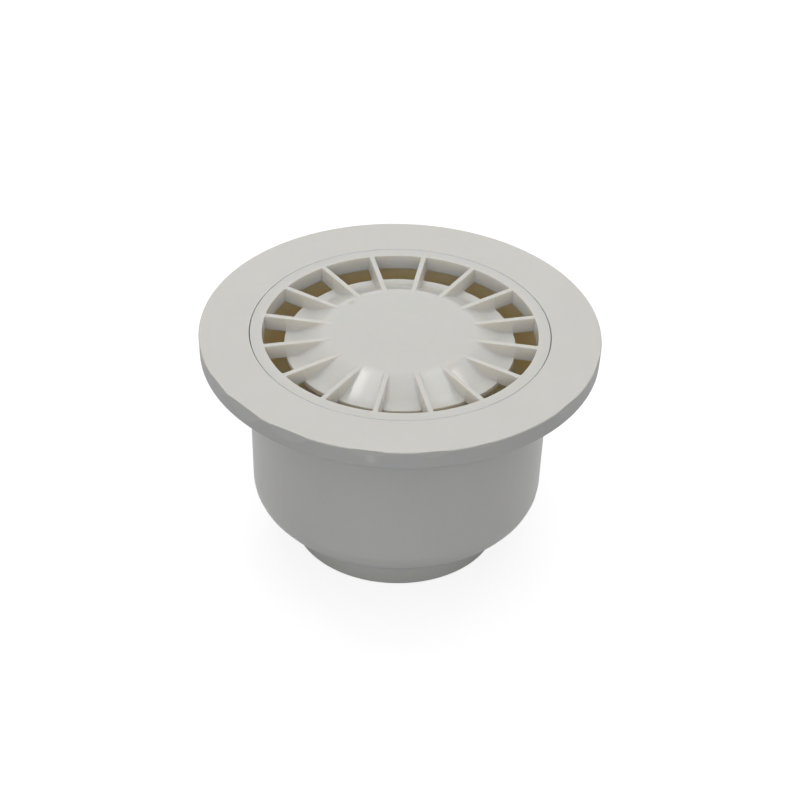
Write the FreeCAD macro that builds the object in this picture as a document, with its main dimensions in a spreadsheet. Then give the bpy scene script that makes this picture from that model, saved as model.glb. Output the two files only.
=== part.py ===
import FreeCAD, Part
import os
import Sketcher
from FreeCAD import Vector

# Floor drain of white moulded plastic: a body with flange, bowl, standpipe and pipe socket,
# a trap bell that rests over the standpipe, and a slotted grate that drops into the flange.
# Heights are measured up from the lower rim of the outlet, on the drain's axis.

# Driving dimensions in millimetres, with angles in degrees
SIZES = [
    ("drain_height", 89.5, "lower rim of the outlet to the finished floor"),
    ("flange_diameter", 150.0, "flange that laps over the floor"),
    ("flange_depth", 7.6, "height of the flange's down-turned edge"),
    ("flange_plate", 3.0, "thickness of the flange"),
    ("flange_skirt", 3.0, "thickness of the down-turned edge"),
    ("flange_edge_draft", 0.35, "radius that the edge loses towards its foot"),
    ("flange_round", 0.6, "rounding of the flange's upper edge"),
    ("grate_diameter", 112.0, "outside of the grate's rim"),
    ("grate_depth", 5.7, "height of the grate's rim"),
    ("seat_clearance", 0.3, "gap round the grate"),
    ("seat_wall", 2.5, "wall of the recess that takes the grate"),
    ("ledge_width", 2.4, "ledge under the grate's rim"),
    ("ledge_wall", 3.0, "thickness of the ledge"),
    ("barrel_wall", 2.8, "wall of the barrel"),
    ("barrel_taper", 1.7, "radius that the barrel loses down to the shoulder"),
    ("shoulder_round", 9.5, "outer rounding between barrel and bowl bottom"),
    ("bowl_fall", 3.9, "fall of the bowl bottom from the shoulder to the outlet"),
    ("floor_wall", 2.8, "thickness of the bowl bottom"),
    ("pipe_diameter", 75.0, "waste pipe that goes up into the outlet"),
    ("pipe_clearance", 0.2, "gap round the waste pipe"),
    ("outlet_wall", 1.8, "wall of the outlet collar"),
    ("outlet_length", 13.4, "depth of the outlet's pipe socket"),
    ("standpipe_bore", 46.0, "inside of the standpipe"),
    ("standpipe_wall", 2.5, "wall of the standpipe"),
    ("standpipe_drop", 32.0, "finished floor to the standpipe's rim"),
    ("bell_passage", 7.7, "gap between standpipe and bell"),
    ("bell_wall", 1.8, "wall of the bell"),
    ("bell_crown", 13.0, "standpipe's rim to the underside of the bell's top"),
    ("bell_bevel", 6.0, "bevel round the bell's top"),
    ("bell_lift", 9.3, "bowl bottom to the bell's rim"),
    ("web_count", 4, "webs that carry the bell"),
    ("web_thickness", 2.0, "thickness of each web"),
    ("web_inset", 4.0, "width of the tongue that enters the standpipe"),
    ("web_mouth", 15.0, "radius left open between the webs at the bell's top"),
    ("tongue_length", 6.0, "depth of the tongues in the standpipe"),
    ("tongue_clearance", 0.3, "gap between tongues and standpipe"),
    ("web_turn", 45.0, "turn of the bell about the axis"),
    ("rim_width", 4.5, "width of the grate's rim"),
    ("rim_draft", 0.5, "radius that the rim's bore loses towards its foot"),
    ("rim_round", 0.4, "rounding of the grate's upper outer edge"),
    ("slot_width", 8.3, "rim to the petals' lip"),
    ("lip_width", 4.2, "foot of the petals' slope to the lip"),
    ("petal_run", 11.25, "width of the petals' slope"),
    ("petal_drop", 5.35, "fall from the grate's top to the lip"),
    ("petal_round", 10.0, "rounding at the head and foot of the slope"),
    ("plate_thickness", 2.2, "thickness of the grate's middle and petals"),
    ("rib_count", 16, "ribs, with a slot between each two"),
    ("rib_thickness", 1.9, "thickness of each rib at its top"),
    ("rib_foot_thickness", 3.0, "thickness of each rib at its foot"),
    ("rib_depth", 5.5, "height of the ribs"),
    ("rib_tail", 7.0, "stretch in which the ribs run out under the middle"),
    ("grate_turn", 13.25, "turn of the grate about the axis"),
]

# Radii and heights that follow from the driving dimensions
DERIVED = [
    ("flange_radius", "flange_diameter / 2"),
    ("flange_foot_radius", "flange_radius - flange_edge_draft"),
    ("skirt_radius", "flange_foot_radius - flange_skirt"),
    ("grate_radius", "grate_diameter / 2"),
    ("seat_radius", "grate_radius + seat_clearance"),
    ("neck_radius", "seat_radius + seat_wall"),
    ("barrel_bore_radius", "seat_radius - ledge_width"),
    ("barrel_radius", "barrel_bore_radius + barrel_wall"),
    ("shoulder_radius", "barrel_radius - barrel_taper"),
    ("shoulder_bore_radius", "shoulder_radius - barrel_wall"),
    ("socket_radius", "pipe_diameter / 2 + pipe_clearance"),
    ("outlet_radius", "socket_radius + outlet_wall"),
    ("standpipe_bore_radius", "standpipe_bore / 2"),
    ("standpipe_radius", "standpipe_bore_radius + standpipe_wall"),
    ("bowl_round", "shoulder_round - barrel_wall"),
    ("flange_underside", "drain_height - flange_plate"),
    ("flange_foot", "drain_height - flange_depth"),
    ("ledge_level", "drain_height - grate_depth"),
    ("ledge_underside", "ledge_level - ledge_wall"),
    ("shoulder_level", "outlet_length + bowl_fall"),
    ("floor_level", "outlet_length + floor_wall"),
    ("shoulder_floor_level", "shoulder_level + floor_wall"),
    ("standpipe_level", "drain_height - standpipe_drop"),
    ("bell_bore_radius", "standpipe_radius + bell_passage"),
    ("bell_radius", "bell_bore_radius + bell_wall"),
    ("bell_middle_radius", "bell_bore_radius + bell_wall / 2"),
    ("bell_rim_level", "floor_level + bell_lift"),
    ("bell_crown_level", "standpipe_level + bell_crown"),
    ("bell_top_level", "bell_crown_level + bell_wall"),
    ("bell_middle_level", "bell_crown_level + bell_wall / 2"),
    ("bevel_head_radius", "bell_radius - bell_bevel"),
    ("bevel_foot_level", "bell_top_level - bell_bevel"),
    ("bevel_offset", "bell_wall * tan(22.5 deg)"),
    ("bevel_head_bore", "bevel_head_radius - bevel_offset"),
    ("bevel_foot_bore", "bevel_foot_level - bevel_offset"),
    ("bevel_head_middle", "bevel_head_radius - bevel_offset / 2"),
    ("bevel_foot_middle", "bevel_foot_level - bevel_offset / 2"),
    ("tongue_radius", "standpipe_bore_radius - tongue_clearance"),
    ("tongue_inner_radius", "tongue_radius - web_inset"),
    ("tongue_level", "standpipe_level - tongue_length"),
    ("rim_bore_radius", "grate_radius - rim_width"),
    ("rim_middle_radius", "grate_radius - rim_width / 2"),
    ("rim_foot_bore_radius", "rim_bore_radius - rim_draft"),
    ("lip_radius", "rim_bore_radius - slot_width"),
    ("petal_foot_radius", "lip_radius - lip_width"),
    ("petal_head_radius", "petal_foot_radius - petal_run"),
    ("petal_slope", "atan(petal_drop / petal_run)"),
    ("plate_offset", "plate_thickness * tan(petal_slope / 2)"),
    ("underside_foot_radius", "petal_foot_radius - plate_offset"),
    ("underside_head_radius", "petal_head_radius - plate_offset"),
    ("lip_level", "drain_height - petal_drop"),
    ("plate_underside", "drain_height - plate_thickness"),
    ("lip_underside", "lip_level - plate_thickness"),
    ("crest_under_round", "petal_round - plate_thickness"),
    ("foot_under_round", "petal_round + plate_thickness"),
    ("rib_tail_radius", "petal_head_radius - rib_tail"),
    ("rib_length", "rim_middle_radius - rib_tail_radius"),
    ("rib_half", "rib_thickness / 2"),
    ("rib_foot_half", "rib_foot_thickness / 2"),
    ("rib_foot_level", "drain_height - rib_depth"),
    ("runout_width", "rib_foot_thickness * 1.5"),
]

# A coordinate of zero: a radius on the drain's axis, or a height at the outlet's lower rim
ZERO = None
TOLERANCE = 1e-4

doc = FreeCAD.newDocument("floor_drain")
sheet = doc.addObject("Spreadsheet::Sheet", "Sizes")


def fill_sheet():
    """Writes the driving dimensions as numbers and the rest as formulas, each with its alias."""
    row = 0
    for alias, value, note in SIZES:
        row += 1
        sheet.set("A%d" % row, alias.replace("_", " "))
        sheet.set("B%d" % row, str(value))
        sheet.set("C%d" % row, note)
        sheet.setAlias("B%d" % row, alias)
    for alias, formula in DERIVED:
        row += 1
        sheet.set("A%d" % row, alias.replace("_", " "))
        sheet.set("B%d" % row, "=" + formula)
        sheet.setAlias("B%d" % row, alias)
    doc.recompute()


def size(alias):
    """The number in the cell that has this alias."""
    return 0.0 if alias is ZERO else float(sheet.get(alias))


def new_body(label):
    body = doc.addObject("PartDesign::Body", label)
    body.Label = label
    return body


def origin_feature(body, role):
    """One of the body's own origin planes or axes."""
    return [part for part in body.Origin.OriginFeatures if part.Role == role][0]


def tie(sketch, kind, line, end, alias):
    """Ties one coordinate of a line's end to a cell, or to zero."""
    if alias is ZERO:
        sketch_axis = -2 if kind == "DistanceX" else -1
        sketch.addConstraint(Sketcher.Constraint("PointOnObject", line, end, sketch_axis))
        return
    index = sketch.addConstraint(Sketcher.Constraint(kind, -1, 1, line, end, size(alias)))
    sketch.setExpression("Constraints[%d]" % index, "Sizes." + alias)


def section_sketch(body, name, corners):
    """A closed outline in the plane through the axis, from (radius, height) pairs of aliases."""
    sketch = body.newObject("Sketcher::SketchObject", name)
    sketch.AttachmentSupport = [(origin_feature(body, "XZ_Plane"), "")]
    sketch.MapMode = "FlatFace"
    points = [Vector(size(radius), size(height), 0) for radius, height in corners]
    count = len(points)
    for line in range(count):
        sketch.addGeometry(Part.LineSegment(points[line], points[(line + 1) % count]))
    for line in range(count):
        sketch.addConstraint(Sketcher.Constraint("Coincident", line, 2, (line + 1) % count, 1))
    for line, (radius, height) in enumerate(corners):
        tie(sketch, "DistanceX", line, 1, radius)
        tie(sketch, "DistanceY", line, 1, height)
    doc.recompute()
    return sketch


def revolve(body, sketch, name):
    """A full turn of the outline about the axis."""
    feature = body.newObject("PartDesign::Revolution", name)
    feature.Profile = sketch
    feature.ReferenceAxis = (sketch, ["V_Axis"])
    feature.Angle = 360.0
    doc.recompute()
    return feature


def round_circle(body, name, radius, height, rounding):
    """Rounds the circular edge at this radius and height."""
    base = body.Tip
    found = []
    for number, edge in enumerate(base.Shape.Edges, 1):
        curve = edge.Curve
        if not isinstance(curve, Part.Circle):
            continue
        across = abs(curve.Radius - size(radius))
        along = abs(curve.Center.z - size(height))
        if across < TOLERANCE and along < TOLERANCE:
            found.append("Edge%d" % number)
    if not found:
        raise RuntimeError("no edge to round for " + name)
    feature = body.newObject("PartDesign::Fillet", name)
    feature.Base = (base, found)
    feature.setExpression("Radius", "Sizes." + rounding)
    doc.recompute()
    return feature


def bar_sketch(body, name, start, upper, lower):
    """Even cross-section of a bar that runs out along +X, from (half width, height) pairs of aliases."""
    sketch = body.newObject("Sketcher::SketchObject", name)
    sketch.AttachmentSupport = [(origin_feature(body, "YZ_Plane"), "")]
    sketch.MapMode = "FlatFace"
    sketch.setExpression("AttachmentOffset.Base.z", "Sizes." + start + " * 1 mm")
    corners = [(-1, upper), (1, upper), (1, lower), (-1, lower)]
    points = [Vector(side * size(half), size(height), 0) for side, (half, height) in corners]
    for line in range(4):
        sketch.addGeometry(Part.LineSegment(points[line], points[(line + 1) % 4]))
    for line in range(4):
        sketch.addConstraint(Sketcher.Constraint("Coincident", line, 2, (line + 1) % 4, 1))
    for line, (half, height) in ((1, upper), (2, lower)):
        tie(sketch, "DistanceX", line, 1, half)
        tie(sketch, "DistanceY", line, 1, height)
    sketch.addConstraint(Sketcher.Constraint("Symmetric", 0, 1, 1, 1, -2))
    sketch.addConstraint(Sketcher.Constraint("Symmetric", 3, 1, 2, 1, -2))
    doc.recompute()
    return sketch


def pad(body, sketch, name, length, centred):
    """A solid of the outline's shape, pushed out from its plane or centred on it."""
    feature = body.newObject("PartDesign::Pad", name)
    feature.Profile = sketch
    feature.Midplane = centred
    feature.setExpression("Length", "Sizes." + length)
    doc.recompute()
    return feature


def cut_through(body, sketch, name, length):
    """A cut of the outline's shape, centred on its plane."""
    feature = body.newObject("PartDesign::Pocket", name)
    feature.Profile = sketch
    feature.Midplane = True
    feature.setExpression("Length", "Sizes." + length)
    doc.recompute()
    return feature


def repeat_round(body, features, name, count):
    """Repeats features evenly about the axis."""
    pattern = body.newObject("PartDesign::PolarPattern", name)
    pattern.Originals = features
    pattern.Axis = (origin_feature(body, "Z_Axis"), [""])
    pattern.Angle = 360.0
    pattern.setExpression("Occurrences", "Sizes." + count)
    body.Tip = pattern
    doc.recompute()
    return pattern


def turn_about_axis(body, alias):
    """Turns a finished piece about the drain's axis."""
    body.Placement = FreeCAD.Placement(Vector(0, 0, 0), Vector(0, 0, 1), size(alias))
    body.setExpression("Placement.Rotation.Angle", "Sizes." + alias + " * 1 deg")
    doc.recompute()


def make_drain_body():
    """Flange, recess, barrel, bowl, standpipe and outlet collar, moulded as one."""
    body = new_body("drain_body")
    section = section_sketch(body, "body_section", [
        ("seat_radius", "drain_height"),
        ("flange_radius", "drain_height"),
        ("flange_foot_radius", "flange_foot"),
        ("skirt_radius", "flange_foot"),
        ("skirt_radius", "flange_underside"),
        ("neck_radius", "flange_underside"),
        ("neck_radius", "ledge_underside"),
        ("barrel_radius", "ledge_underside"),
        ("shoulder_radius", "shoulder_level"),
        ("outlet_radius", "outlet_length"),
        ("outlet_radius", ZERO),
        ("socket_radius", ZERO),
        ("socket_radius", "outlet_length"),
        ("standpipe_bore_radius", "outlet_length"),
        ("standpipe_bore_radius", "standpipe_level"),
        ("standpipe_radius", "standpipe_level"),
        ("standpipe_radius", "floor_level"),
        ("outlet_radius", "floor_level"),
        ("shoulder_bore_radius", "shoulder_floor_level"),
        ("barrel_bore_radius", "ledge_level"),
        ("seat_radius", "ledge_level"),
    ])
    revolve(body, section, "body_turned")
    round_circle(body, "shoulder_outside", "shoulder_radius", "shoulder_level", "shoulder_round")
    round_circle(body, "shoulder_inside", "shoulder_bore_radius", "shoulder_floor_level", "bowl_round")
    round_circle(body, "flange_edge", "flange_radius", "drain_height", "flange_round")
    return body


def make_trap_bell():
    """Inverted cup that dips into the water round the standpipe and rests on its rim by webs."""
    body = new_body("trap_bell")
    section = section_sketch(body, "bell_section", [
        (ZERO, "bell_top_level"),
        ("bevel_head_radius", "bell_top_level"),
        ("bell_radius", "bevel_foot_level"),
        ("bell_radius", "bell_rim_level"),
        ("bell_bore_radius", "bell_rim_level"),
        ("bell_bore_radius", "bevel_foot_bore"),
        ("bevel_head_bore", "bell_crown_level"),
        (ZERO, "bell_crown_level"),
    ])
    revolve(body, section, "bell_turned")
    web = section_sketch(body, "web_outline", [
        ("web_mouth", "bell_middle_level"),
        ("bevel_head_middle", "bell_middle_level"),
        ("bell_middle_radius", "bevel_foot_middle"),
        ("bell_middle_radius", "standpipe_level"),
        ("tongue_radius", "standpipe_level"),
        ("tongue_radius", "tongue_level"),
        ("tongue_inner_radius", "tongue_level"),
    ])
    plate = pad(body, web, "web_plate", "web_thickness", True)
    repeat_round(body, [plate], "webs", "web_count")
    turn_about_axis(body, "web_turn")
    return body


def make_grate():
    """Closed middle with S-curved petals, tapered ribs that stand flush with the middle, and a rim."""
    body = new_body("grate")
    section = section_sketch(body, "petal_section", [
        (ZERO, "drain_height"),
        ("petal_head_radius", "drain_height"),
        ("petal_foot_radius", "lip_level"),
        ("lip_radius", "lip_level"),
        ("lip_radius", "lip_underside"),
        ("underside_foot_radius", "lip_underside"),
        ("underside_head_radius", "plate_underside"),
        (ZERO, "plate_underside"),
    ])
    revolve(body, section, "petals_turned")
    round_circle(body, "petal_head", "petal_head_radius", "drain_height", "petal_round")
    round_circle(body, "petal_foot", "petal_foot_radius", "lip_level", "petal_round")
    round_circle(body, "petal_head_under", "underside_head_radius", "plate_underside", "crest_under_round")
    round_circle(body, "petal_foot_under", "underside_foot_radius", "lip_underside", "foot_under_round")
    upper = ("rib_half", "drain_height")
    lower = ("rib_foot_half", "rib_foot_level")
    rib = bar_sketch(body, "rib_section", "rib_tail_radius", upper, lower)
    bar = pad(body, rib, "rib_bar", "rib_length", False)
    tail = section_sketch(body, "rib_tail_outline", [
        ("rib_tail_radius", "plate_underside"),
        ("petal_head_radius", "rib_foot_level"),
        ("petal_head_radius", "lip_underside"),
        ("rib_tail_radius", "lip_underside"),
    ])
    runout = cut_through(body, tail, "rib_runout", "runout_width")
    repeat_round(body, [bar, runout], "ribs", "rib_count")
    rim = section_sketch(body, "rim_section", [
        ("rim_bore_radius", "drain_height"),
        ("grate_radius", "drain_height"),
        ("grate_radius", "ledge_level"),
        ("rim_foot_bore_radius", "ledge_level"),
    ])
    revolve(body, rim, "rim_turned")
    round_circle(body, "rim_edge", "grate_radius", "drain_height", "rim_round")
    turn_about_axis(body, "grate_turn")
    return body


def check(bodies):
    """Stops if any step of the model failed or a piece is not one sound solid."""
    for item in doc.Objects:
        if "Invalid" in item.State or "Error" in item.State:
            raise RuntimeError("%s did not build: %s" % (item.Label, item.State))
    for body in bodies:
        shape = body.Shape
        if shape.isNull() or not shape.isValid() or len(shape.Solids) != 1:
            raise RuntimeError(body.Label + " is not one sound solid")


fill_sheet()
pieces = [make_drain_body(), make_trap_bell(), make_grate()]
doc.recompute()
check(pieces)
os.makedirs("parts", exist_ok=True)
for piece in pieces:
    piece.Shape.exportStep("parts/%s.step" % piece.Label)
    print("%s %.1f cm3" % (piece.Label, piece.Shape.Volume / 1000.0))
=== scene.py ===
import math

import bmesh
import bpy
from bpy.props import FloatProperty, FloatVectorProperty, IntProperty, PointerProperty
from mathutils import Matrix, Vector


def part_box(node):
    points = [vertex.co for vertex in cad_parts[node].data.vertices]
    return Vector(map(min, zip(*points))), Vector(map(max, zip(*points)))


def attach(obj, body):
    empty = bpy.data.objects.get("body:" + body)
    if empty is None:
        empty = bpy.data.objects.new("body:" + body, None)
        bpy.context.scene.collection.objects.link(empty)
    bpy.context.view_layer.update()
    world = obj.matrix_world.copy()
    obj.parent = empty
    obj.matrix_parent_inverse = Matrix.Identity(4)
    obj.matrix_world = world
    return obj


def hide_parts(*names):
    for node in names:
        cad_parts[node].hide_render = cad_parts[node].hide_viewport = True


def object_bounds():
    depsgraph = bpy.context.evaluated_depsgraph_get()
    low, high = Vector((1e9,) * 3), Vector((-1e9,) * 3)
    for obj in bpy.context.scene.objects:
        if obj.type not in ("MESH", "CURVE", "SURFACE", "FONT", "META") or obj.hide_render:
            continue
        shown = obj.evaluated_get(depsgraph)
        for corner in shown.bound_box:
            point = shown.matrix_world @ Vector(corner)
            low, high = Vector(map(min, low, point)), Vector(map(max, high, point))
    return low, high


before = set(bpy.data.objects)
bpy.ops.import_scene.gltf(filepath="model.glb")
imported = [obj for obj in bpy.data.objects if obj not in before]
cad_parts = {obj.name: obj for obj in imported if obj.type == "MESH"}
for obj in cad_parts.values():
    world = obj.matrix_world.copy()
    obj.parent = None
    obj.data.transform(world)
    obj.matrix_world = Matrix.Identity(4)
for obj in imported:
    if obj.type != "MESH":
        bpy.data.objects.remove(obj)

bl_info = {
    "name": "Floor drain",
    "version": (1, 0, 0),
    "blender": (4, 5, 0),
    "location": "View3D > Sidebar > Floor drain",
    "description": "Builds a moulded floor drain with its trap bell and slotted grate",
    "category": "Object",
}


def outer_radius(low, high):
    """Radius of a round piece, from the corners of its box."""
    return min(high.x, high.y, -low.x, -low.y)


# Boxes of the fixed frame, in metres: heights run up from the outlet's lower rim
CAD_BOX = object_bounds()
BODY_LOW, BODY_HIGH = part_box("drain_body")
GRATE_LOW, GRATE_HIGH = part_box("grate")
BELL_LOW, BELL_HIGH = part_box("trap_bell")
FLANGE_RADIUS = outer_radius(BODY_LOW, BODY_HIGH)
GRATE_RADIUS = outer_radius(GRATE_LOW, GRATE_HIGH)
BELL_RADIUS = outer_radius(BELL_LOW, BELL_HIGH)

# Steps in height too small to see, in metres, that keep joined faces apart and the top inside the CAD box
BOX_MARGIN = 0.000001
GRATE_SINK = 0.000002
CREST_SINK = 0.00001
LEAST_RISE = 0.00003
FILLET_SINK = 0.000005
TOP = BODY_HIGH.z - BOX_MARGIN

# Meshing: turn of a step in a rounding, its least steps, the support beside it, the circle that sections
# ride on, and the distances within which points are merged or lie on a cut
ARC_STEP = math.radians(14.0)
ARC_LEAST = 3
ARC_SUPPORT = 0.0004
PATH_RADIUS = 0.1
MERGE_DISTANCE = 0.000001
CUT_DISTANCE = 1e-7

# Roundings of the body's lesser corners, in metres
SEAT_EDGE_ROUND = 0.00025
SKIRT_ROUND = 0.0005
HOLLOW_ROUND = 0.0008
NECK_ROUND = 0.0006
BARREL_HEAD_ROUND = 0.0007
OUTLET_ROOT_ROUND = 0.0008
OUTLET_RIM_ROUND = 0.0004
SOCKET_MOUTH_ROUND = 0.0006
SOCKET_STOP_ROUND = 0.0005
STANDPIPE_ROUND = 0.0008
STANDPIPE_FOOT_ROUND = 0.0015
BOWL_FLOOR_ROUND = 0.0030
LEDGE_EDGE_ROUND = 0.0003
LEDGE_CORNER_ROUND = 0.0004

# Roundings of the bell, half the turn of its bevel, its webs' easing as a share, and its sharp edges' angle
BELL_EDGE_ROUND = 0.0012
BELL_RIM_ROUND = 0.0005
BELL_INNER_ROUND = 0.0010
HALF_BEVEL = math.radians(22.5)
WEB_EASE = 0.12
BELL_CREASE = math.radians(35.0)

# Roundings of the grate, the ribs' flare at the rim, and the grate's sharp edges' angle
LIP_ROUND = 0.0003
RIM_FOOT_ROUND = 0.0001
RIB_FLARE = 0.0006
GRATE_CREASE = math.radians(40.0)
# Steps in a rib's mesh: along the petal, in the flare, up the fillet, in a side without one, over the edge
RIB_STEPS = 40
FLARE_STEPS = 6
FILLET_STEPS = 6
FREE_STEPS = 10
EASE_STEPS = 3
# Sections of a rib just past the petal's lip, in metres, and the most of a rib's rise that its edge takes
PAST_LIP = (0.00002, 0.001)
EASE_SHARE = 0.3

# Trims that a knife left on the flange's upper edge: bearing in degrees, depth in metres
KNIFE_TRIMS = [(-151.0, 0.00045), (-138.0, 0.00070), (-121.0, 0.00055), (-98.2, 0.00042),
               (-80.0, 0.00035), (-66.0, 0.00022), (-36.0, 0.00040), (-13.5, 0.00042)]
KNIFE_SLANT = math.radians(4.5)
# Gap round the grate: how far the recess is drawn in, how near its wall a point is, and room over the ledge
RECESS_DRAW = 0.00023
RECESS_BAND = 0.0008
LEDGE_ROOM = 0.0005
# Pale bruise by the flange's gate mark and faint stain between two ribs: place, radius and strength
BRUISE = ((-0.0089, -0.0741, 0.0859), 0.0027, 0.42)
STAIN = ((-0.0185, 0.0177, 0.0890), 0.0022, 0.5)
# Ring that a core pin left on the grate's middle: radius, width and depth in metres
CORE_RING = (0.0126, 0.0006, 0.00005)

# Which faces count as inside the bowl, painted with warm light, or as the flange's edge, painted with shade:
# margins in metres, then shares and leans
BOWL_ROOM = 0.002
EDGE_BAND = 0.0012
WALL_SHARE = 0.6
CORE_SHARE = 0.55
INWARD_LEAN = 0.2
UPRIGHT_LEAN = 0.6

# Relief of the plastics' skins: heights of the fine grain and of the long ripple, in metres
SATIN_RELIEF = (0.000006, 0.00008)
BOWL_RELIEF = (0.000008, 0.00008)
EDGE_RELIEF = (0.00001, 0.00008)
GRATE_RELIEF = (0.0000015, 0.00005)
# Roughness of the plastics for which the panel has none
BOWL_ROUGHNESS = 0.5
EDGE_ROUGHNESS = 0.55
BELL_ROUGHNESS = 0.45
# Light inside the plastics: refraction, shares, depth in metres at a full share, and reach by colour
PLASTIC_IOR = 1.49
PLAIN_GLOW = 0.25
BOWL_GLOW = 0.9
GRATE_GLOW = 0.5
GLOW_DEPTH = 0.0096
GLOW_REACH = (1.0, 0.72, 0.42)
# Heights between which the bowl's painted tan takes the place of its greyer painted depth, in metres
BOWL_FADE = (0.045, 0.066)
# Clouding: the share of the mottle, and the noise at the first and at the second tone
MOTTLE_SHARE = 0.35
CLOUD_RANGE = (0.45, 0.95)
# Spots: how far their edge wanders, and where they fade out and in, as shares of the radius
SPOT_WANDER = 0.9
SPOT_OUT = 1.45
SPOT_IN = 0.55
# Scuffs: turn and scale of the streaks, the noise that shows as one, what it adds, and the haze's range
STREAK_TURN = (0.0, 0.0, 0.5)
STREAK_SCALE = (60.0, 1500.0, 60.0)
STREAK_RANGE = (0.66, 0.76)
STREAK_ADDS = 0.10
HAZE_LEAST = 0.82
HAZE_MOST = 1.18

WHITE = (1.0, 1.0, 1.0, 1.0)
# Floor: half its width, its place under the drain and the radii of its contact shade in metres, then levels
FLOOR_HALF = 6.0
FLOOR_DROP = 0.0002
CONTACT_SHADE = (0.0385, 0.050)
FLOOR_LIFT = 0.80
FLECK_SHADE = 0.97
# Strip lamps hang this far above the grate, in metres
STRIP_HEIGHT = 1.5
# Slopes of the petals that show the strips, in degrees, with the share of a strip's width there
STRIP_ROWS = [(6.0, 0.35), (9.0, 0.45), (13.0, 0.60), (18.0, 0.80), (24.0, 1.0), (31.0, 1.0)]
# Strips: name, bearings of the petals that show their edges, setting of the glow, its share, least slope
STRIPS = [
    ("strip_left", (-31.5, -23.0), "key_glow", 1.0, 0.0),
    ("strip_far_right", (43.5, 41.0), "key_glow", 1.5, 24.0),
    ("strip_near_left", (-11.0, -22.5), "fill_glow", 1.0, 0.0),
    ("strip_near_right", (35.0, 14.0), "fill_glow", 1.0, 0.0),
]
# Panel lamps: place, facing, width and height in metres
TOP_PANEL = ((0.0, -0.6, 1.79), (0.0, 0.6, -1.7), 0.8, 0.8)
FRONT_PANEL = ((-0.25, -1.65, 0.8), (0.25, 1.65, -0.75), 1.4, 0.9)
# Camera: width of the sensor in millimetres, nearest and farthest thing it sees in metres
SENSOR_WIDTH = 36.0
CLIP_START = 0.01
CLIP_END = 50.0


# Layout of a node tree: nodes stand in a line that steps down and starts again at the top
NODE_PITCH = 200
NODE_DROP = 160
NODE_ROWS = 4


def plain_number(name, default, description, **kind):
    """A number in the panel."""
    return FloatProperty(name=name, description=description, default=default, **kind)


def length(name, default, description):
    """A size in metres."""
    return plain_number(name, default, description, min=0.0, precision=5, unit="LENGTH")


def angle(name, degrees, description):
    """An angle, given in degrees."""
    return plain_number(name, math.radians(degrees), description, subtype="ANGLE")


def whole_number(name, default, least, most, description):
    """A whole number between two others."""
    return IntProperty(name=name, description=description, default=default, min=least, max=most)


def colour(name, default, description):
    """A linear colour that the panel shows as a swatch."""
    return FloatVectorProperty(name=name, description=description, default=default, size=4, min=0.0, max=1.0,
                               subtype="COLOR")


def share(name, default, description):
    """A number from nought to one."""
    return plain_number(name, default, description, min=0.0, max=1.0, subtype="FACTOR")


def brightness(name, default, description):
    """A lamp's level that can't fall under nought."""
    return plain_number(name, default, description, min=0.0)


def watts(name, default, description):
    """A lamp's power."""
    return plain_number(name, default, description, unit="POWER")


class DrainBodySizes(bpy.types.PropertyGroup):
    """Sizes of the moulded body."""
    flange_radius: length("Flange radius", FLANGE_RADIUS, "Outside of the flange")
    flange_depth: length("Flange edge", 0.0076, "Height of the flange's down-turned edge")
    flange_plate: length("Flange plate", 0.0030, "Thickness of the flange")
    flange_skirt: length("Flange skirt", 0.0030, "Thickness of the down-turned edge")
    edge_draft: length("Edge draft", 0.00035, "Radius that the edge loses towards its foot")
    edge_round: length("Edge rounding", 0.0006, "Rounding of the flange's upper edge")
    seat_radius: length("Seat radius", 0.0563, "Recess that takes the grate")
    seat_depth: length("Seat depth", 0.0057, "Depth of the recess")
    neck_radius: length("Neck radius", 0.0588, "Outside of the recess")
    ledge_wall: length("Ledge", 0.0030, "Thickness of the ledge under the grate")
    barrel_radius: length("Barrel radius", 0.0567, "Outside of the barrel under the ledge")
    barrel_taper: length("Barrel taper", 0.0017, "Radius that the barrel loses down to the shoulder")
    wall: length("Wall", 0.0028, "Wall of the barrel and the bowl bottom")
    shoulder_level: length("Shoulder level", 0.0173, "Height of the corner between barrel and bowl bottom")
    shoulder_round: length("Shoulder rounding", 0.0095, "Outer rounding of the bowl's shoulder")
    outlet_radius: length("Outlet radius", 0.0395, "Outside of the outlet collar")
    outlet_wall: length("Outlet wall", 0.0018, "Wall of the outlet collar")
    outlet_length: length("Outlet length", 0.0134, "Depth of the pipe socket")
    standpipe_bore: length("Standpipe bore", 0.0230, "Inside radius of the standpipe")
    standpipe_wall: length("Standpipe wall", 0.0025, "Wall of the standpipe")
    standpipe_level: length("Standpipe level", 0.0575, "Height of the standpipe's rim")
    steps: whole_number("Steps", 288, 32, 720, "Steps round the axis")


class TrapBellSizes(bpy.types.PropertyGroup):
    """Sizes of the bell over the standpipe."""
    radius: length("Bell radius", BELL_RADIUS, "Outside of the bell")
    wall: length("Bell wall", 0.0018, "Wall of the bell")
    bevel: length("Bevel", 0.0060, "Bevel round the bell's top")
    web_count: whole_number("Webs", 4, 2, 12, "Webs that carry the bell")
    web_thickness: length("Web thickness", 0.0020, "Thickness of each web")
    web_mouth: length("Web mouth", 0.0150, "Radius left open between the webs")
    tongue_radius: length("Tongue radius", 0.0227, "Outside of the tongues in the standpipe")
    tongue_inner: length("Tongue inside", 0.0187, "Inside of the tongues")
    tongue_level: length("Tongue level", 0.0515, "Lower ends of the tongues")
    web_turn: angle("Turn", 45.0, "Turn of the bell about the axis")
    steps: whole_number("Steps", 128, 32, 720, "Steps round the axis")


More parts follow.
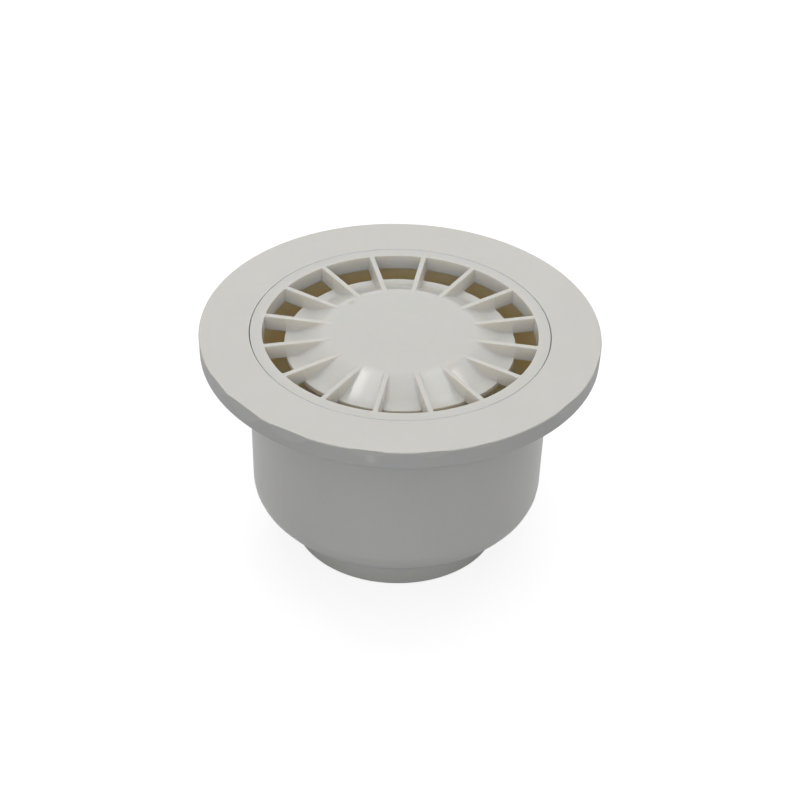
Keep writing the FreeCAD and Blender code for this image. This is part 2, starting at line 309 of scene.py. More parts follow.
class GrateSizes(bpy.types.PropertyGroup):
    """Sizes of the slotted grate."""
    radius: length("Grate radius", GRATE_RADIUS, "Outside of the rim")
    rim_bore: length("Rim bore", 0.0515, "Inside of the rim")
    rim_draft: length("Rim draft", 0.0005, "Radius that the rim's bore loses towards its foot")
    rim_round: length("Rim rounding", 0.00025, "Rounding of the rim's edges")
    lip_radius: length("Lip radius", 0.0432, "Reach of the petals")
    foot_radius: length("Petal foot", 0.0390, "Radius at which the petals' slope ends")
    head_radius: length("Petal head", 0.02775, "Radius at which the petals' slope begins")
    petal_drop: length("Petal drop", 0.00535, "Fall from the middle to the petals' lip")
    petal_round: length("Petal rounding", 0.0100, "Rounding at the head and foot of the slope")
    plate: length("Plate", 0.0022, "Thickness of the middle and the petals")
    rib_count: whole_number("Ribs", 16, 4, 48, "Ribs, with a slot between each two")
    rib_thickness: length("Rib thickness", 0.0019, "Thickness of each rib at its top")
    rib_foot: length("Rib foot", 0.0030, "Thickness of each rib at its foot")
    rib_depth: length("Rib depth", 0.0055, "Height of the ribs")
    rib_round: length("Rib rounding", 0.00028, "Rounding of the ribs' upper edges")
    head_fillet: length("Head fillet", 0.0011, "Fillet between the ribs and the petals at the petals' heads")
    lip_fillet: length("Lip fillet", 0.0006, "Fillet between the ribs and the petals at the petals' lips")
    rib_tail: length("Rib tail", 0.0070, "Stretch in which the ribs run out under the middle")
    turn: angle("Turn", 13.25, "Turn of the grate about the axis")
    steps: whole_number("Steps", 288, 32, 720, "Steps round the axis")


class PlasticFinish(bpy.types.PropertyGroup):
    """Colours and gloss of the plastics."""
    body_colour: colour("Body", (0.665, 0.652, 0.615, 1.0), "White of the body")
    body_shade: colour("Body shade", (0.635, 0.622, 0.585, 1.0), "Duller white in the body's clouding")
    # Painted shade: the flange edge's whites are darker than the body's, for the light that the upright edge
    # misses
    edge_painted_shade_colour: colour("Flange edge", (0.585, 0.577, 0.548, 1.0), "Duller white of the flange's cut edge")
    edge_painted_shade_cloud: colour("Flange edge shade", (0.558, 0.550, 0.522, 1.0), "Darker tone in the edge's clouding")
    # Painted warm light: the bowl's tan, paler than the body's white, stands in for light through the walls
    # into the shaded bowl; low in the bowl it fades to a greyer painted tone
    bowl_painted_light_colour: colour("Inside", (0.875, 0.722, 0.500, 1.0), "Tan tone of the shaded bowl")
    bowl_painted_light_cloud: colour("Inside shade", (0.812, 0.652, 0.428, 1.0), "Darker tan in the bowl's clouding")
    bowl_painted_light_depth: colour("Depth", (0.720, 0.720, 0.660, 1.0), "Greyer tone low in the bowl")
    # Painted light: the bell's cream is paler and warmer than the body's white, for light that reaches the
    # shaded bell
    bell_painted_light_colour: colour("Bell", (0.880, 0.820, 0.660, 1.0), "Cream tone of the shaded bell")
    bell_painted_light_cloud: colour("Bell shade", (0.800, 0.740, 0.580, 1.0), "Darker cream in the bell's clouding")
    grate_colour: colour("Grate", (0.672, 0.660, 0.622, 1.0), "White of the grate")
    grate_shade: colour("Grate shade", (0.652, 0.640, 0.602, 1.0), "Duller white in the grate's clouding")
    stain_colour: colour("Stain", (0.520, 0.450, 0.320, 1.0), "Brown of the small stain on the grate")
    bruise_colour: colour("Bruise", (0.780, 0.775, 0.750, 1.0), "Pale plastic where the gate was cut")
    body_gloss: share("Body roughness", 0.42, "Roughness of the body's satin skin")
    grate_gloss: share("Grate roughness", 0.14, "Roughness of the grate's polished skin")


class StageSettings(bpy.types.PropertyGroup):
    """Camera, lamps and floor."""
    distance: length("Camera distance", 0.9525, "Camera to the middle of the grate")
    elevation: angle("Elevation", 34.57, "Camera's height above the horizon")
    roll: angle("Roll", 1.59, "Camera's roll")
    drop: angle("Drop", 1.55, "How far the camera aims below the grate")
    pan: angle("Pan", 0.008, "How far the camera aims to the left of the drain's axis")
    lens: plain_number("Lens", 115.17, "Focal length in millimetres")
    key_glow: brightness("Key", 8.0, "Brightness of the two narrow strips")
    fill_glow: brightness("Fill", 2.9, "Brightness of the two wide strips")
    top_power: watts("Top", 0.6, "Watts of the panel overhead")
    front_power: watts("Front", 4.8, "Watts of the panel by the camera")
    front_tint: colour("Front tint", (0.92, 0.97, 1.0, 1.0), "Cool tone of the panel by the camera")
    sky: share("Sky", 0.525, "Level light from the surroundings")
    floor_colour: colour("Floor", (0.36, 0.36, 0.36, 1.0), "Floor as the camera sees it")
    floor_bounce: colour("Floor bounce", (0.210, 0.222, 0.262, 1.0), "Floor as it lights the drain")


class FloorDrainSettings(bpy.types.PropertyGroup):
    """All settings of the floor drain."""
    body: PointerProperty(type=DrainBodySizes)
    bell: PointerProperty(type=TrapBellSizes)
    grate: PointerProperty(type=GrateSizes)
    finish: PointerProperty(type=PlasticFinish)
    stage: PointerProperty(type=StageSettings)


def feed(tree, socket, value):
    """Links a socket to an input, or sets the input's own value."""
    if isinstance(value, bpy.types.NodeSocket):
        tree.links.new(value, socket)
    else:
        socket.default_value = value


def add_node(tree, kind, *inputs, operation=None, **named):
    """A node to the right of the tree's last one, with its inputs fed in order or by name."""
    number = len(tree.nodes)
    node = tree.nodes.new(kind)
    node.location = (NODE_PITCH * number, -NODE_DROP * (number % NODE_ROWS))
    if operation is not None:
        node.operation = operation
    for socket, value in zip(node.inputs, inputs):
        feed(tree, socket, value)
    for name, value in named.items():
        feed(tree, node.inputs[name.replace("_", " ")], value)
    return node


def math_node(tree, operation, *inputs):
    """The result of a Math node."""
    return add_node(tree, "ShaderNodeMath", *inputs, operation=operation).outputs[0]


def vector_node(tree, operation, *inputs, **named):
    """The outputs of a Vector Math node."""
    return add_node(tree, "ShaderNodeVectorMath", *inputs, operation=operation, **named).outputs


def noise(tree, where, **named):
    """The grey of a noise texture."""
    return add_node(tree, "ShaderNodeTexNoise", Vector=where, **named).outputs["Fac"]


def ranged(tree, value, low, high, first=0.0, last=1.0, smooth=False):
    """A value carried from one range to another and held at its ends."""
    node = add_node(tree, "ShaderNodeMapRange", Value=value, From_Min=low, From_Max=high,
                    To_Min=first, To_Max=last)
    if smooth:
        node.interpolation_type = "SMOOTHSTEP"
    return node.outputs["Result"]


def mixed_colour(tree, factor, first, second):
    """A colour that goes from the first to the second as the factor rises."""
    node = add_node(tree, "ShaderNodeMix")
    node.data_type = "RGBA"
    feed(tree, node.inputs["Factor"], factor)
    sockets = [socket for socket in node.inputs if socket.type == "RGBA"]
    for socket, tone in zip(sockets, (first, second)):
        feed(tree, socket, tone)
    return [socket for socket in node.outputs if socket.type == "RGBA"][0]


def emptied_tree(owner):
    """The node tree of a material or a world, with nothing in it."""
    owner.use_nodes = True
    owner.node_tree.nodes.clear()
    return owner.node_tree


def rounded_section(corners, closed):
    """Points of a section from (radius, height, rounding) corners, with an arc at each rounding."""
    points = []
    count = len(corners)
    for index, (radius, height, rounding) in enumerate(corners):
        corner = Vector((radius, height))
        at_end = not closed and index in (0, count - 1)
        if at_end or rounding == 0.0:
            points.append(corner)
            continue
        back = (Vector(corners[index - 1][:2]) - corner).normalized()
        ahead = (Vector(corners[(index + 1) % count][:2]) - corner).normalized()
        half = back.angle(ahead) / 2
        reach = rounding / math.tan(half)
        centre = corner + (back + ahead).normalized() * (rounding / math.sin(half))
        start = corner + back * reach - centre
        sweep = start.angle_signed(corner + ahead * reach - centre)
        steps = max(ARC_LEAST, round(abs(sweep) / ARC_STEP))
        support = min(ARC_SUPPORT, rounding / 2)
        points.append(corner + back * (reach + support))
        for step in range(steps + 1):
            turn = -sweep * step / steps
            points.append(centre + Matrix.Rotation(turn, 2) @ start)
        points.append(corner + ahead * (reach + support))
    return points


def height_at(points, radius):
    """Height of an open section at a radius, between its two nearest points."""
    for near, far in zip(points, points[1:]):
        if near.x <= radius <= far.x and far.x > near.x:
            return near.y + (far.y - near.y) * (radius - near.x) / (far.x - near.x)
    raise ValueError("the section doesn't reach this radius")


def section_mesh(name, points, closed):
    """A line mesh of a section, with radius along X and height along Z."""
    mesh = bpy.data.meshes.new(name)
    edges = [(index, index + 1) for index in range(len(points) - 1)]
    if closed:
        edges.append((len(points) - 1, 0))
    mesh.from_pydata([(point.x, 0.0, point.y) for point in points], edges, [])
    return mesh


def new_tree(name, geometry, numbers):
    """A Geometry Nodes tree with a geometry input, number inputs and a material input."""
    tree = bpy.data.node_groups.new(name, "GeometryNodeTree")
    sockets = {}
    face = tree.interface
    face.new_socket(geometry, in_out="INPUT", socket_type="NodeSocketGeometry")
    for label, kind in numbers + [("Material", "NodeSocketMaterial")]:
        sockets[label] = face.new_socket(label, in_out="INPUT", socket_type=kind).identifier
    face.new_socket(geometry, in_out="OUTPUT", socket_type="NodeSocketGeometry")
    return tree, sockets


def finish_tree(tree, geometry, material):
    """Shades the faces smooth, realizes the instances and gives them the material."""
    smooth = add_node(tree, "GeometryNodeSetShadeSmooth", Geometry=geometry)
    real = add_node(tree, "GeometryNodeRealizeInstances", Geometry=smooth.outputs["Geometry"])
    painted = add_node(tree, "GeometryNodeSetMaterial", Geometry=real.outputs["Geometry"], Material=material)
    add_node(tree, "NodeGroupOutput", painted.outputs["Geometry"])


def turned_tree():
    """Turns a section about the axis: the section rides round a circle, and its poles are merged."""
    tree, sockets = new_tree("Turned piece", "Section", [
        ("Steps", "NodeSocketInt"), ("Path radius", "NodeSocketFloat"), ("Merge", "NodeSocketFloat")])
    given = add_node(tree, "NodeGroupInput").outputs
    place = add_node(tree, "GeometryNodeInputPosition")
    split = add_node(tree, "ShaderNodeSeparateXYZ", place.outputs[0])
    across = math_node(tree, "SUBTRACT", split.outputs["X"], given["Path radius"])
    down = math_node(tree, "MULTIPLY", split.outputs["Z"], -1.0)
    flat = add_node(tree, "ShaderNodeCombineXYZ", X=across, Y=down)
    laid = add_node(tree, "GeometryNodeSetPosition", Geometry=given["Section"], Position=flat.outputs[0])
    profile = add_node(tree, "GeometryNodeMeshToCurve", Mesh=laid.outputs["Geometry"])
    path = add_node(tree, "GeometryNodeCurvePrimitiveCircle", Resolution=given["Steps"],
                    Radius=given["Path radius"])
    swept = add_node(tree, "GeometryNodeCurveToMesh", Curve=path.outputs["Curve"],
                     Profile_Curve=profile.outputs["Curve"])
    merged = add_node(tree, "GeometryNodeMergeByDistance", Geometry=swept.outputs["Mesh"],
                      Distance=given["Merge"])
    finish_tree(tree, merged.outputs["Geometry"], given["Material"])
    return tree, sockets


def ring_tree():
    """Repeats a plate evenly about the axis."""
    tree, sockets = new_tree("Ring of plates", "Plate", [
        ("Count", "NodeSocketInt"), ("Turn", "NodeSocketFloat")])
    given = add_node(tree, "NodeGroupInput").outputs
    points = add_node(tree, "GeometryNodePoints", Count=given["Count"])
    number = add_node(tree, "GeometryNodeInputIndex")
    pitch = math_node(tree, "DIVIDE", math.tau, given["Count"])
    bearing = math_node(tree, "MULTIPLY", number.outputs[0], pitch)
    turned = math_node(tree, "ADD", bearing, given["Turn"])
    spin = add_node(tree, "ShaderNodeCombineXYZ", Z=turned)
    placed = add_node(tree, "GeometryNodeInstanceOnPoints", Points=points.outputs[0],
                      Instance=given["Plate"], Rotation=spin.outputs[0])
    finish_tree(tree, placed.outputs["Instances"], given["Material"])
    return tree, sockets


def new_object(name, data):
    """An object in the scene that shows the data."""
    made = bpy.data.objects.new(name, data)
    bpy.context.scene.collection.objects.link(made)
    return made


def evaluated_mesh(owner):
    """The mesh that an object's modifiers make."""
    return bpy.data.meshes.new_from_object(owner.evaluated_get(bpy.context.evaluated_depsgraph_get()))


def run_tree(mesh, made, values):
    """Runs a tree on a mesh and returns the result as a plain mesh."""
    tree, sockets = made
    carrier = new_object("carrier", mesh)
    modifier = carrier.modifiers.new("nodes", "NODES")
    modifier.node_group = tree
    for label, value in values.items():
        modifier[sockets[label]] = value
    result = evaluated_mesh(carrier)
    carrier.modifiers.remove(modifier)
    bpy.data.objects.remove(carrier)
    bpy.data.meshes.remove(mesh)
    return result


def turned_mesh(name, corners, closed, steps, material):
    """A section with rounded corners, turned about the drain's axis."""
    section = section_mesh(name + "_section", rounded_section(corners, closed), closed)
    return run_tree(section, turned_tree(), {
        "Steps": steps, "Path radius": PATH_RADIUS, "Merge": MERGE_DISTANCE, "Material": material})


def facing_out(mesh):
    """Turns a closed mesh's faces outwards."""
    shape = bmesh.new()
    shape.from_mesh(mesh)
    bmesh.ops.recalc_face_normals(shape, faces=shape.faces)
    shape.to_mesh(mesh)
    shape.free()


def mesh_of(shape, name):
    """A mesh with the shape's faces. The shape is freed."""
    mesh = bpy.data.meshes.new(name)
    shape.to_mesh(mesh)
    shape.free()
    return mesh


def moulded_piece(name, meshes, materials):
    """One object of several closed meshes, united into a single skin."""
    parts = []
    for mesh in meshes:
        facing_out(mesh)
        mesh.materials.clear()
        parts.append(new_object(name, mesh))
    piece = parts[0]
    for other in parts[1:]:
        union = piece.modifiers.new("union", "BOOLEAN")
        union.operation = "UNION"
        union.solver = "EXACT"
        union.object = other
    result = evaluated_mesh(piece)
    piece.modifiers.clear()
    piece.data = result
    for other in parts[1:]:
        bpy.data.objects.remove(other)
    for mesh in meshes:
        bpy.data.meshes.remove(mesh)
    result.name = name
    result.materials.clear()
    for material in materials:
        result.materials.append(material)
    for face in result.polygons:
        face.use_smooth = True
    return piece


def put_in_frame(piece, node):
    """Ties a finished piece to the frame in place of its CAD node."""
    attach(piece, "root")
    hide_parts(node)


def clouded_colour(tree, where, tones):
    """Colour that drifts between two tones over a few centimetres, with a finer mottle in it."""
    clouds = noise(tree, where, Scale=26.0, Detail=4.0, Roughness=0.55)
    mottle = noise(tree, where, Scale=420.0, Detail=3.0, Roughness=0.6)
    spread = math_node(tree, "MULTIPLY", mottle, MOTTLE_SHARE)
    both = math_node(tree, "ADD", clouds, spread)
    drift = ranged(tree, both, *CLOUD_RANGE)
    return mixed_colour(tree, drift, *tones)


def spot_mask(tree, where, mark):
    """A soft, ragged spot round a point."""
    centre, radius, strength = mark
    ragged = noise(tree, where, Scale=600.0, Detail=3.0)
    wander = math_node(tree, "MULTIPLY", ragged, radius * SPOT_WANDER)
    far = vector_node(tree, "DISTANCE", where, centre)["Value"]
    reach = math_node(tree, "ADD", far, wander)
    fade = ranged(tree, reach, radius * SPOT_OUT, radius * SPOT_IN, smooth=True)
    return math_node(tree, "MULTIPLY", fade, strength)


def depth_mask(tree, where, low, high):
    """One below the low height, fading to nought at the high one."""
    split = add_node(tree, "ShaderNodeSeparateXYZ", where)
    return ranged(tree, split.outputs["Z"], high, low, smooth=True)


def skin_relief(tree, where, relief):
    """Bump of a moulded skin: a fine grain over a long, shallow ripple, heights in metres."""
    grain, ripple = relief
    fine = noise(tree, where, Scale=1900.0, Detail=2.0, Roughness=0.6)
    long = noise(tree, where, Scale=55.0, Detail=1.0)
    low = math_node(tree, "MULTIPLY", fine, grain)
    high = math_node(tree, "MULTIPLY", long, ripple)
    return math_node(tree, "ADD", low, high)


def ring_mark(tree, where, ring):
    """A faint ring round the axis, as a height in metres."""
    radius, width, depth = ring
    flat = add_node(tree, "ShaderNodeMapping", Vector=where, Scale=(1.0, 1.0, 0.0))
    out = vector_node(tree, "LENGTH", flat.outputs[0])["Value"]
    off = math_node(tree, "SUBTRACT", out, radius)
    size = math_node(tree, "ABSOLUTE", off)
    return ranged(tree, size, 0.0, width, -depth, 0.0, smooth=True)


def scuffed_gloss(tree, where, gloss):
    """Roughness that varies with a fine haze and thin rubbed streaks."""
    haze = noise(tree, where, Scale=150.0, Detail=5.0, Roughness=0.65)
    stretch = add_node(tree, "ShaderNodeMapping", Vector=where, Rotation=STREAK_TURN, Scale=STREAK_SCALE)
    streaks = noise(tree, stretch.outputs[0], Scale=1.0, Detail=2.0)
    thin = ranged(tree, streaks, *STREAK_RANGE, last=STREAK_ADDS)
    level = ranged(tree, haze, 0.0, 1.0, gloss * HAZE_LEAST, gloss * HAZE_MOST)
    return math_node(tree, "ADD", level, thin)


def plastic(name, tones, gloss, relief, spot=None, deep=None, ring=None, glow=PLAIN_GLOW):
    """A moulded plastic with clouding, scuffs, skin relief, the marks of this drain, and painted light low
    in the bowl.
    """
    material = bpy.data.materials.new(name)
    tree = emptied_tree(material)
    where = add_node(tree, "ShaderNodeTexCoord").outputs["Object"]
    shown = clouded_colour(tree, where, tones)
    if spot is not None:
        mark, tone = spot
        shown = mixed_colour(tree, spot_mask(tree, where, mark), shown, tone)
    # Painted light: low in the bowl a greyer tone, paler than the body's white, takes the place of the
    # painted tan
    if deep is not None:
        mask = depth_mask(tree, where, *BOWL_FADE)
        shown = mixed_colour(tree, mask, shown, deep)
    height = skin_relief(tree, where, relief)
    if ring is not None:
        mark = ring_mark(tree, where, ring)
        height = math_node(tree, "ADD", height, mark)
    bump = add_node(tree, "ShaderNodeBump", Strength=1.0, Distance=1.0, Height=height)
    roughness = scuffed_gloss(tree, where, gloss)
    surface = add_node(tree, "ShaderNodeBsdfPrincipled", Base_Color=shown, Roughness=roughness,
                       Normal=bump.outputs["Normal"], IOR=PLASTIC_IOR, Subsurface_Weight=glow,
                       Subsurface_Radius=GLOW_REACH, Subsurface_Scale=GLOW_DEPTH * glow)
    add_node(tree, "ShaderNodeOutputMaterial", Surface=surface.outputs[0])
    return material


def trim_edge(piece, radius):
    """Cuts the knife's flat trims off the flange's upper edge."""
    shape = bmesh.new()
    shape.from_mesh(piece.data)
    for bearing, depth in KNIFE_TRIMS:
        turn = math.radians(bearing)
        out = Vector((math.cos(turn), math.sin(turn), 0.0))
        normal = out * math.cos(KNIFE_SLANT) + Vector((0.0, 0.0, math.sin(KNIFE_SLANT)))
        middle = out * (radius - depth) + Vector((0.0, 0.0, TOP))
        whole = shape.verts[:] + shape.edges[:] + shape.faces[:]
        cut = bmesh.ops.bisect_plane(shape, geom=whole, dist=CUT_DISTANCE, plane_co=middle, plane_no=normal,
                                     clear_outer=True)
        border = [item for item in cut["geom_cut"] if isinstance(item, bmesh.types.BMEdge)]
        bmesh.ops.holes_fill(shape, edges=border)
        for edge in border:
            edge.smooth = False
    shape.to_mesh(piece.data)
    shape.free()


def draw_in_recess(piece, radius, level):
    """Draws the recess in at front and back, so that its gap round the grate is nearly closed there."""
    for vertex in piece.data.vertices:
        out = math.hypot(vertex.co.x, vertex.co.y)
        if vertex.co.z > level and abs(out - radius) < RECESS_BAND:
            share_left = 1.0 - RECESS_DRAW * abs(vertex.co.y) / out ** 2
            vertex.co.x *= share_left
            vertex.co.y *= share_left


def paint_bowl_light(piece, low, wide):
    """Gives the second material, the bowl's painted warm light, to the faces of the bowl and the standpipe,
    inside the walls.
    """
    for face in piece.data.polygons:
        centre = face.center
        out = math.hypot(centre.x, centre.y)
        inward = face.normal.x * centre.x + face.normal.y * centre.y < -INWARD_LEAN * out
        in_bowl = low < centre.z and out < wide
        if in_bowl and (inward or face.normal.z > INWARD_LEAN or out < wide * CORE_SHARE):
            face.material_index = 1


def paint_edge_shade(piece, radius):
    """Gives the third material, a painted shade, to the flange's upright edge."""
    for face in piece.data.polygons:
        out = math.hypot(face.center.x, face.center.y)
        if out > radius and abs(face.normal.z) < UPRIGHT_LEAN:
            face.material_index = 2


def plate_mesh(name, outline, thickness):
    """An upright plate of this outline along +X, with its edges eased."""
    shape = bmesh.new()
    near = [shape.verts.new((radius, -thickness / 2, height)) for radius, height in outline]
    face = shape.faces.new(near)
    pushed = bmesh.ops.extrude_face_region(shape, geom=[face])
    moved = [item for item in pushed["geom"] if isinstance(item, bmesh.types.BMVert)]
    bmesh.ops.translate(shape, verts=moved, vec=(0.0, thickness, 0.0))
    bmesh.ops.recalc_face_normals(shape, faces=shape.faces)
    bmesh.ops.bevel(shape, geom=shape.edges[:], offset=thickness * WEB_EASE, segments=2, profile=0.5,
                    affect="EDGES")
    return mesh_of(shape, name)


def rib_stations(sizes, tail):
    """Radii of a rib's sections, from its tail under the middle to the inside of the rim."""
    lip = sizes.lip_radius
    stations = [tail + (lip - tail) * step / RIB_STEPS for step in range(RIB_STEPS + 1)]
    stations += [lip + past for past in PAST_LIP]
    stations += [(lip + sizes.rim_bore) / 2]
    for step in range(FLARE_STEPS + 1):
        stations.append(sizes.rim_bore - RIB_FLARE * (1.0 - step / FLARE_STEPS))
    return stations + [(sizes.rim_bore + sizes.radius) / 2]


def rib_side(sizes, petal, radius, low):
    """One side of a rib at a radius, from its foot up, as pairs of half width and height."""
    crest = TOP - CREST_SINK
    lip = sizes.lip_radius
    spread = (sizes.rib_foot - sizes.rib_thickness) / 2 / sizes.rib_depth
    into = min(max(0.0, radius - sizes.rim_bore + RIB_FLARE), RIB_FLARE)
    half = sizes.rib_thickness / 2 + (RIB_FLARE - math.sqrt(RIB_FLARE ** 2 - into ** 2))
    on_petal = radius <= lip
    foot = min(height_at(petal, radius), crest - LEAST_RISE) if on_petal else low
    rise = crest - foot
    ease = min(sizes.rib_round, rise * EASE_SHARE)
    out = min(1.0, max(0.0, (radius - sizes.head_radius) / (lip - sizes.head_radius)))
    fillet = sizes.head_fillet + (sizes.lip_fillet - sizes.head_fillet) * out
    climb = min(fillet, rise - ease)
    sweep = math.acos(1.0 - climb / fillet)
    reach = half + spread * (TOP - foot - climb) + fillet * math.sin(sweep)
    sunk = min(height_at(petal, min(math.hypot(radius, reach), lip)), foot) - FILLET_SINK
    side = [(half + spread * (TOP - low), low)]
    for step in range(FILLET_STEPS + 1):
        if on_petal:
            turn = sweep * step / FILLET_STEPS
            side.append((reach - fillet * math.sin(turn), sunk + fillet * (1.0 - math.cos(turn))))
        else:
            height = low + (crest - ease - low) * (step + 1) / FREE_STEPS
            side.append((half + spread * (TOP - height), height))
    for step in range(EASE_STEPS + 1):
        turn = math.radians(90.0 / EASE_STEPS * step)
        side.append((half - ease * (1.0 - math.cos(turn)), crest - ease * (1.0 - math.sin(turn))))
    return side


def rib_mesh(sizes, petal, under):
    """One rib along +X, wider at its foot, with a fillet to the petal and a flare to the rim."""
    foot_level = TOP - sizes.rib_depth
    tail = sizes.head_radius - sizes.rib_tail
    shape = bmesh.new()
    rings = []
    for radius in rib_stations(sizes, tail):
        run = min(1.0, (radius - tail) / (sizes.head_radius - tail))
        low = under + (foot_level - under) * run
        side = rib_side(sizes, petal, radius, low)
        ring = side + [(-across, height) for across, height in reversed(side)]
        rings.append([shape.verts.new((radius, across, height)) for across, height in ring])
    for first, second in zip(rings, rings[1:]):
        for index in range(len(first)):
            after = (index + 1) % len(first)
            shape.faces.new((first[index], first[after], second[after], second[index]))
    shape.faces.new(rings[0])
    shape.faces.new(rings[-1])
    bmesh.ops.recalc_face_normals(shape, faces=shape.faces)
    return mesh_of(shape, "rib")


class DRAIN_OT_body(bpy.types.Operator):
    """Turns the body with its flange, recess, bowl, standpipe and outlet collar"""
    bl_idname = "drain.body"
    bl_label = "Body"

    def execute(self, context):
        sizes = context.scene.floor_drain.body
        finish = context.scene.floor_drain.finish
        foot = TOP - sizes.flange_depth
        under = TOP - sizes.flange_plate
        ledge = TOP - sizes.seat_depth
        neck_foot = ledge - sizes.ledge_wall
        shoulder = sizes.barrel_radius - sizes.barrel_taper
        floor = sizes.outlet_length + sizes.wall
        socket = sizes.outlet_radius - sizes.outlet_wall
        foot_radius = sizes.flange_radius - sizes.edge_draft
        skirt = foot_radius - sizes.flange_skirt
        standpipe = sizes.standpipe_bore + sizes.standpipe_wall
        corners = [
            (sizes.seat_radius, TOP, SEAT_EDGE_ROUND),
            (sizes.flange_radius, TOP, sizes.edge_round),
            (foot_radius, foot, SKIRT_ROUND),
            (skirt, foot, SKIRT_ROUND),
            (skirt, under, HOLLOW_ROUND),
            (sizes.neck_radius, under, HOLLOW_ROUND),
            (sizes.neck_radius, neck_foot, NECK_ROUND),
            (sizes.barrel_radius, neck_foot, BARREL_HEAD_ROUND),
            (shoulder, sizes.shoulder_level, sizes.shoulder_round),
            (sizes.outlet_radius, sizes.outlet_length, OUTLET_ROOT_ROUND),
            (sizes.outlet_radius, 0.0, OUTLET_RIM_ROUND),
            (socket, 0.0, SOCKET_MOUTH_ROUND),
            (socket, sizes.outlet_length, SOCKET_STOP_ROUND),
            (sizes.standpipe_bore, sizes.outlet_length, STANDPIPE_ROUND),
            (sizes.standpipe_bore, sizes.standpipe_level, STANDPIPE_ROUND),
            (standpipe, sizes.standpipe_level, STANDPIPE_ROUND),
            (standpipe, floor, STANDPIPE_FOOT_ROUND),
            (sizes.outlet_radius, floor, BOWL_FLOOR_ROUND),
            (shoulder - sizes.wall, sizes.shoulder_level + sizes.wall, sizes.shoulder_round - sizes.wall),
            (sizes.barrel_radius - sizes.wall, ledge, LEDGE_EDGE_ROUND),
            (sizes.seat_radius, ledge, LEDGE_CORNER_ROUND),
        ]
        bruise = (BRUISE, finish.bruise_colour)
        skin = plastic("body_satin_plastic", (finish.body_colour, finish.body_shade), finish.body_gloss,
                       SATIN_RELIEF, spot=bruise)
        # Painted warm light: the bowl's tan and its greyer depth stand in for light through the walls into
        # the shaded bowl
        inside = plastic("bowl_painted_light_plastic", (finish.bowl_painted_light_colour, finish.bowl_painted_light_cloud), BOWL_ROUGHNESS,
                         BOWL_RELIEF, deep=finish.bowl_painted_light_depth, glow=BOWL_GLOW)
        # Painted shade: the flange's upright edge gets a darker white than the body
        edge = plastic("flange_edge_painted_shade_plastic", (finish.edge_painted_shade_colour, finish.edge_painted_shade_cloud), EDGE_ROUGHNESS,
                       EDGE_RELIEF, spot=bruise)
        mesh = turned_mesh("drain_bowl", corners, True, sizes.steps, skin)
        piece = moulded_piece("drain_bowl", [mesh], [skin, inside, edge])
        draw_in_recess(piece, sizes.seat_radius, ledge + LEDGE_ROOM)
        trim_edge(piece, sizes.flange_radius)
        paint_bowl_light(piece, sizes.outlet_length + BOWL_ROOM, sizes.barrel_radius - sizes.wall * WALL_SHARE)
        paint_edge_shade(piece, foot_radius - EDGE_BAND)
        put_in_frame(piece, "drain_body")
        return {"FINISHED"}


class DRAIN_OT_bell(bpy.types.Operator):
    """Turns the trap bell and sets its webs inside it"""
    bl_idname = "drain.bell"
    bl_label = "Trap bell"

    def execute(self, context):
        sizes = context.scene.floor_drain.bell
        finish = context.scene.floor_drain.finish
        rest = context.scene.floor_drain.body.standpipe_level
        top, rim = BELL_HIGH.z, BELL_LOW.z
        crown = top - sizes.wall
        bore = sizes.radius - sizes.wall
        slant = sizes.wall * math.tan(HALF_BEVEL)
        head = sizes.radius - sizes.bevel
        corners = [
            (0.0, top, 0.0),
            (head, top, BELL_EDGE_ROUND),
            (sizes.radius, top - sizes.bevel, BELL_EDGE_ROUND),
            (sizes.radius, rim, BELL_RIM_ROUND),
            (bore, rim, BELL_RIM_ROUND),
            (bore, top - sizes.bevel - slant, BELL_INNER_ROUND),
            (head - slant, crown, BELL_INNER_ROUND),
            (0.0, crown, 0.0),
        ]
        # Painted light: the bell's cream is paler and warmer than the body's white, for light that reaches
        # the shaded bell
        skin = plastic("bell_painted_light_plastic", (finish.bell_painted_light_colour, finish.bell_painted_light_cloud), BELL_ROUGHNESS,
                       SATIN_RELIEF)
        cup = turned_mesh("trap_cup", corners, False, sizes.steps, skin)
        middle = sizes.radius - sizes.wall / 2
        web = plate_mesh("web", [
            (sizes.web_mouth, crown + sizes.wall / 2),
            (head - slant / 2, crown + sizes.wall / 2),
            (middle, top - sizes.bevel - slant / 2),
            (middle, rest),
            (sizes.tongue_radius, rest),
            (sizes.tongue_radius, sizes.tongue_level),
            (sizes.tongue_inner, sizes.tongue_level),
        ], sizes.web_thickness)
        webs = run_tree(web, ring_tree(), {
            "Count": sizes.web_count, "Turn": sizes.web_turn, "Material": skin})
        piece = moulded_piece("trap_cup", [cup, webs], [skin])
        piece.data.set_sharp_from_angle(angle=BELL_CREASE)
        put_in_frame(piece, "trap_bell")
        return {"FINISHED"}


